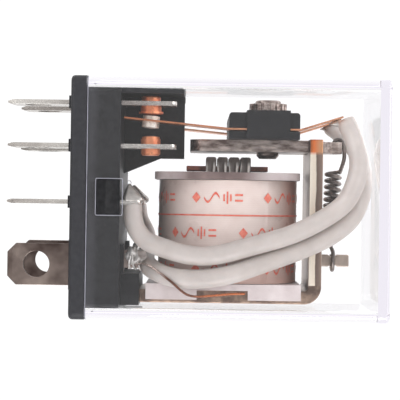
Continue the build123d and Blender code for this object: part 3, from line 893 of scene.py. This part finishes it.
def leaf_joint(side, sign):
    """Braid end soldered under the tail of a contact leaf."""
    bm = bmesh.new()
    y = sign * POLE_Y
    balls = [
        (mm(-8.75, y, 29.4), (0.14, 0.5, 0.3)),
        (mm(-9.15, y, 30.3), (0.3, 0.6, 0.35)),
        (mm(-8.75, y, 30.5), (0.4, 0.5, 0.3)),
    ]
    rough_ball(bm, balls, 0.15, 2.0, sign * 5.0)
    made = finished(f"leaf_joint_{side}", bm, solder, 75)
    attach(made, f"{side}_leaf")
    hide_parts(f"leaf_solder_{side}")


def wire_wrap(y, turn, height):
    """One uneven turn of wire round a coil tail."""
    loop = []
    for step in range(WRAP_STEPS + 1):
        share = step / WRAP_STEPS
        angle = math.tau * share + turn
        x = WRAP_X + (WRAP_REACH_X + 0.08 * turn) * math.cos(angle)
        z = height + 0.16 * math.sin(angle * 2 + turn) + 0.25 * share
        loop.append(mm(x, y + WRAP_REACH_Y * math.sin(angle), z))
    return curve_points(loop, 60)


def coil_joints():
    """Wire wrapped round each coil tail under a crumpled lump of solder."""
    bm = bmesh.new()
    for sign in SIDES.values():
        y = sign * COIL_TAIL_Y
        balls = [
            (mm(6.1, y, 6.75), (0.55, 0.75, 0.5)),
            (mm(6.5, y, 7.9), (0.6, 0.8, 0.5)),
            (mm(7.3, y, 7.0), (0.5, 0.7, 0.8)),
        ]
        rough_ball(bm, balls, 0.5, 1.5, sign * 8.0)
        for turn, height in WRAPS:
            add_tube(bm, wire_wrap(y, turn, height), WRAP_WIRE_R * MM, 8)
    # Painted light: these lumps take the lighter copy of the solder.
    made = finished("coil_joints", bm, solder_painted_lighter, 75)
    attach(made, "frame")
    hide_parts("coil_solder")


com_joints()
coil_joints()
for side, sign in SIDES.items():
    leaf_joint(side, sign)

# ---- Cover edges --------------------------------------------------------------------------------

COVER_X, COVER_Y, COVER_CORNER = 13.6, 10.75, 0.9  # the cover's half sizes and its corners
RIM_Z, RIM_R = 1.9, 0.05
WINDOW_X, WINDOW_Z, WINDOW_CORNER = 2.05, 1.5, 0.15  # a snap window's half sizes and its corners
WINDOW_CENTRE, WINDOW_R = (-0.1, 4.4), 0.045


def rounded_outline(half_u, half_v, corner):
    """Points round a rectangle with round corners, as (u, v) pairs."""
    points = []
    corner_steps = 6
    for turn, (sign_u, sign_v) in enumerate(((1, 1), (-1, 1), (-1, -1), (1, -1))):
        for step in range(corner_steps + 1):
            angle = math.pi / 2 * (turn + step / corner_steps)
            u = sign_u * (half_u - corner) + corner * math.cos(angle)
            points.append((u, sign_v * (half_v - corner) + corner * math.sin(angle)))
    return points


def add_bead(bm, outline, square, radius):
    """A thin ring round a flat closed outline. square is the direction across its plane."""
    sides = 8
    rings = []
    for place, point in enumerate(outline):
        ahead = (outline[(place + 1) % len(outline)] - outline[place - 1]).normalized()
        out = ahead.cross(square)
        ring = []
        for corner in range(sides):
            angle = math.tau * corner / sides
            away = out * math.cos(angle) + square * math.sin(angle)
            ring.append(bm.verts.new(point + away * radius))
        rings.append(ring)
    join_rings(bm, rings + rings[:1])


def cover_glints():
    """Painted highlights: pale beads along the clear cover's edges where they catch the light,
    round its rim and the two snap windows.
    """
    bm = bmesh.new()
    centre_x, centre_z = WINDOW_CENTRE
    window = rounded_outline(WINDOW_X, WINDOW_Z, WINDOW_CORNER)
    for sign in SIDES.values():
        outline = [mm(centre_x + u, sign * COVER_Y, centre_z + v) for u, v in window]
        add_bead(bm, outline, Vector((0, 1, 0)), WINDOW_R * MM)
    rim = rounded_outline(COVER_X, COVER_Y, COVER_CORNER)
    add_bead(bm, [mm(u, v, RIM_Z) for u, v in rim], Vector((0, 0, 1)), RIM_R * MM)
    made = finished("cover_glints", bm, painted_glint, 60)
    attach(made, "frame")


cover_glints()

# ---- Softened edges on the CAD pieces -----------------------------------------------------------

EDGE_WIDTHS = {  # in millimetres
    "base": 0.12,
    "cover": 0.12,
    "contact_carrier": 0.1,
    "armature": 0.12,
    "armature_rivet": 0.06,
    "lock_washer": 0.05,
    "yoke": 0.12,
    "core_laminations": 0.06,
    "shading_ring": 0.06,
    "bobbin": 0.26,
}
for side in SIDES:
    for terminal in ("nc", "no", "com", "coil"):
        EDGE_WIDTHS[f"{terminal}_terminal_{side}"] = 0.05
for name, width in EDGE_WIDTHS.items():
    weld = nodes[name].modifiers.new("weld", "WELD")
    weld.merge_threshold = 0.001 * MM
    bevel = nodes[name].modifiers.new("edge", "BEVEL")
    bevel.width = width * MM
    bevel.segments = 2
    bevel.limit_method = "ANGLE"
    bevel.angle_limit = math.radians(40)

# ---- Studio -------------------------------------------------------------------------------------

VIEW_X, VIEW_Z = 0.1, 14.53  # the point that the camera looks at, in millimetres
VIEW_DISTANCE = 182.75
VIEW_ROLL = math.radians(0.85)
VIEW_LENS = 139.3
FLOOR_Z = -7.4
FLOOR_RINGS, FLOOR_SIDES = (0.5, 20, 45, 80, 120), 64  # the radii of its rings of vertices
FLOOR_FADE = (30 * MM, 100 * MM)  # the radii at which it begins and ends to fade
TENT_FRONT, TENT_BACK = 0.4, 1.03  # the light tent's strength at -Y and behind the relay
BACKDROP, BACKDROP_THROUGH = 1.08, 1.22  # the backdrop's, seen plainly and through the cover
SOFTBOXES = (  # name, place, size, power
    ("key", (-90, -120, -90), 110, 0.31),
    ("fill", (-60, -130, 120), 120, 0.1),
    ("low", (120, -110, 20), 110, 0.12),
    ("rim", (-60, 60, 130), 90, 0.08),
)


def camera():
    """The camera looks along +Y with the relay lying on its side: +Z to the right, -X up."""
    data = bpy.data.cameras.new("camera")
    data.lens = VIEW_LENS
    data.sensor_width = 36.0
    data.clip_start = 0.001
    made = placed("camera", data)
    right = Vector((-math.sin(VIEW_ROLL), 0, math.cos(VIEW_ROLL)))
    up = Vector((-math.cos(VIEW_ROLL), 0, -math.sin(VIEW_ROLL)))
    turn = Matrix((right, up, right.cross(up))).transposed().to_4x4()
    made.matrix_world = Matrix.Translation(mm(VIEW_X, -VIEW_DISTANCE, VIEW_Z)) @ turn
    scene.camera = made


def softbox(name, place, size, power):
    """A square area light that faces the middle of the relay."""
    data = bpy.data.lights.new(name, "AREA")
    data.shape = "SQUARE"
    data.size = size * MM
    data.energy = power
    made = placed(name, data)
    made.location = mm(*place)
    aim = (cad_low + cad_high) / 2 - made.location
    made.rotation_mode = "QUATERNION"
    made.rotation_quaternion = aim.to_track_quat("-Z", "Y")


def world():
    """White straight behind the relay; for everything else a tent, dimmer on the camera's side."""
    scene.world = bpy.data.worlds.new("studio")
    scene.world.use_nodes = True
    made = Nodes(scene.world.node_tree)
    path = made.add("LightPath").outputs
    bounces = made.math("ADD", path["Glossy Depth"], path["Diffuse Depth"])
    seen = made.math("LESS_THAN", bounces, 0.5)
    place = made.add("TexCoord").outputs["Generated"]
    towards = made.add("SeparateXYZ", {"Vector": place}).outputs["Y"]
    tent = made.value_ramp(towards, TENT_FRONT, TENT_BACK, -1.0, 0.2)
    behind = made.value_ramp(path["Transmission Depth"], BACKDROP, BACKDROP_THROUGH)
    background = made.tree.nodes["Background"].inputs
    made.feed(background["Color"], (1, 1, 1, 1))
    level = made.add("Mix", {0: seen, 2: tent, 3: behind}).outputs[0]
    made.feed(background["Strength"], level)


def floor():
    """Pale disc under the blades. It fades at its rim, and when seen edge on or from below."""
    bm = bmesh.new()
    around = [math.tau * step / FLOOR_SIDES for step in range(FLOOR_SIDES)]
    rings = []
    for radius in FLOOR_RINGS:
        ring = [mm(radius * math.cos(a), radius * math.sin(a), FLOOR_Z) for a in around]
        rings.append([bm.verts.new(point) for point in ring])
    join_rings(bm, rings)
    bm.faces.new(rings[0])
    mesh = bpy.data.meshes.new("floor")
    bmesh.ops.recalc_face_normals(bm, faces=bm.faces)
    bm.to_mesh(mesh)
    bm.free()
    made = Shade("pale_floor")
    middle = made.stretched((1, 1, 0))
    reach = made.add("VectorMath", {0: middle}, operation="LENGTH").outputs["Value"]
    rim = made.value_ramp(reach, 1.0, 0.0, *FLOOR_FADE)
    incoming = made.add("NewGeometry").outputs["Incoming"]
    steep = made.add("SeparateXYZ", {"Vector": incoming}).outputs["Z"]
    pale = [(0.3, (0.80, 0.80, 0.80)), (0.7, (0.84, 0.84, 0.84))]
    made.set(
        Base_Color=made.ramp(made.noise(60.0), pale),
        Roughness=0.7,
        Alpha=made.times(rim, made.value_ramp(steep, 0.0, 1.0, 0.2, 0.35)),
    )
    mesh.materials.append(made.material)
    placed("floor", mesh)


scene.view_settings.view_transform = "Standard"
scene.cycles.max_bounces = 14
scene.cycles.transmission_bounces = 12
scene.cycles.transparent_max_bounces = 12
scene.cycles.use_denoising = True
camera()
world()
floor()
for box in SOFTBOXES:
    softbox(*box)
